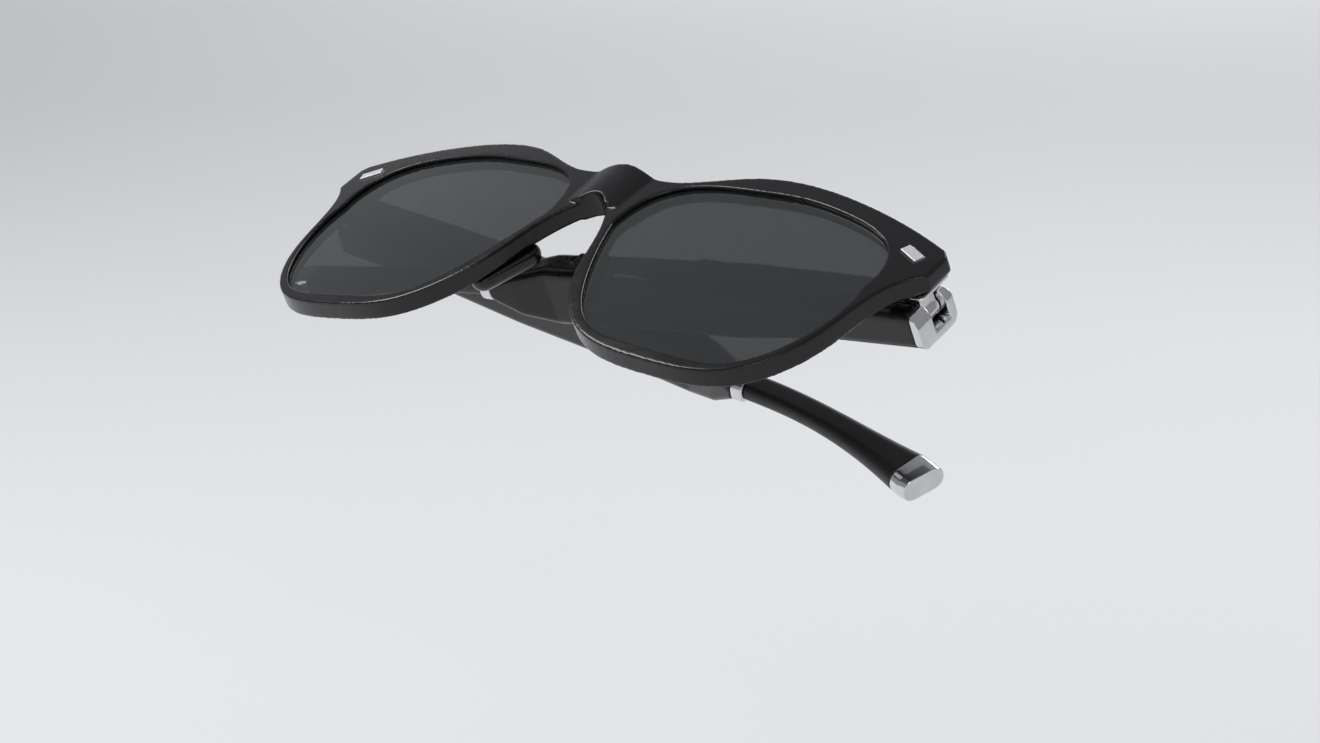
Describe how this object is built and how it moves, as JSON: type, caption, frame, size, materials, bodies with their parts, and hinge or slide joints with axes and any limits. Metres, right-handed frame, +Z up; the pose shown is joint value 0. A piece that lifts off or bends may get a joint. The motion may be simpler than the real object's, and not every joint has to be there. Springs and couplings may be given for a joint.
{
  "type": "smart glasses",
  "caption": "Wearable glasses with a curved dark-lens front, folding electronic temples on hinges, sprung buttons and slim ear tips.",
  "frame": {"origin": "underside of the bridge arch, where the nose or a stand carries the glasses", "axes": "+X across the front to the viewer's right, +Y away from the viewer, +Z up in the leaned resting attitude of the picture"},
  "size_m": [0.1411, 0.0524, 0.0528],
  "materials": {
    "acetate": "polished black acetate",
    "dark_lens": "dark grey tinted polarised lens",
    "bright_metal": "bright polished nickel",
    "black_plastic": "satin black",
    "tip_rubber": "satin dark grey-black",
    "cell_foil": "matt foil wrap",
    "board": "green solder mask",
    "copper": "thin copper strip",
    "gold": "gold plated"
  },
  "bodies": {
    "front": {"front_frame": "acetate", "rivets": "bright_metal", "plate_screws": "bright_metal", "lens_left": "dark_lens", "nose_pad_left": "acetate", "end_plate_left": "bright_metal", "hinge_screw_left": "bright_metal", "lens_right": "dark_lens", "nose_pad_right": "acetate", "end_plate_right": "bright_metal", "hinge_screw_right": "bright_metal"},
    "temple_left": {"temple_shell_left": "acetate", "temple_cover_left": "acetate", "end_cap_left": "bright_metal", "battery_left": "cell_foil", "circuit_board_left": "board", "speaker_left": "black_plastic", "microphone_left": "bright_metal", "antenna_left": "copper", "speaker_grille_left": "black_plastic", "charging_pins_left": "gold", "cover_screws_left": "bright_metal", "collar_ring_left": "bright_metal", "core_wire_left": "bright_metal", "temple_tip_left": "tip_rubber", "tip_cap_left": "bright_metal"},
    "button_left": {"button_left": "black_plastic"},
    "temple_right": {"temple_shell_right": "acetate", "temple_cover_right": "acetate", "end_cap_right": "bright_metal", "battery_right": "cell_foil", "circuit_board_right": "board", "speaker_right": "black_plastic", "microphone_right": "bright_metal", "antenna_right": "copper", "speaker_grille_right": "black_plastic", "charging_pins_right": "gold", "cover_screws_right": "bright_metal", "collar_ring_right": "bright_metal", "core_wire_right": "bright_metal", "temple_tip_right": "tip_rubber", "tip_cap_right": "bright_metal"},
    "button_right": {"button_right": "black_plastic"}
  },
  "joints": [
    {"name": "temple_left_hinge", "type": "hinge", "parent": "front", "child": "temple_left", "pos_m": [-0.0666, 0.00712, -0.01109], "axis": [-0.0818, 0.8912, 0.4463], "range_deg": [0, 77]},
    {"name": "temple_right_hinge", "type": "hinge", "parent": "front", "child": "temple_right", "pos_m": [0.0666, 0.00712, -0.01109], "axis": [0.02, -0.894, -0.4477], "range_deg": [0, 90.2]},
    {"name": "button_left_press", "type": "slide", "parent": "temple_left", "child": "button_left", "axis": [0.0632, -0.8538, -0.5167], "range_m": [0, 0.0004], "stiffness_N_per_m": 500, "springref_m": -0.0002},
    {"name": "button_right_press", "type": "slide", "parent": "temple_right", "child": "button_right", "axis": [0.0201, -0.9027, -0.4297], "range_m": [0, 0.0004], "stiffness_N_per_m": 500, "springref_m": -0.0002}
  ],
  "couplings": [
    {"joint": "temple_right_hinge", "follows": "temple_left_hinge", "ratio": 1.1714}
  ]
}
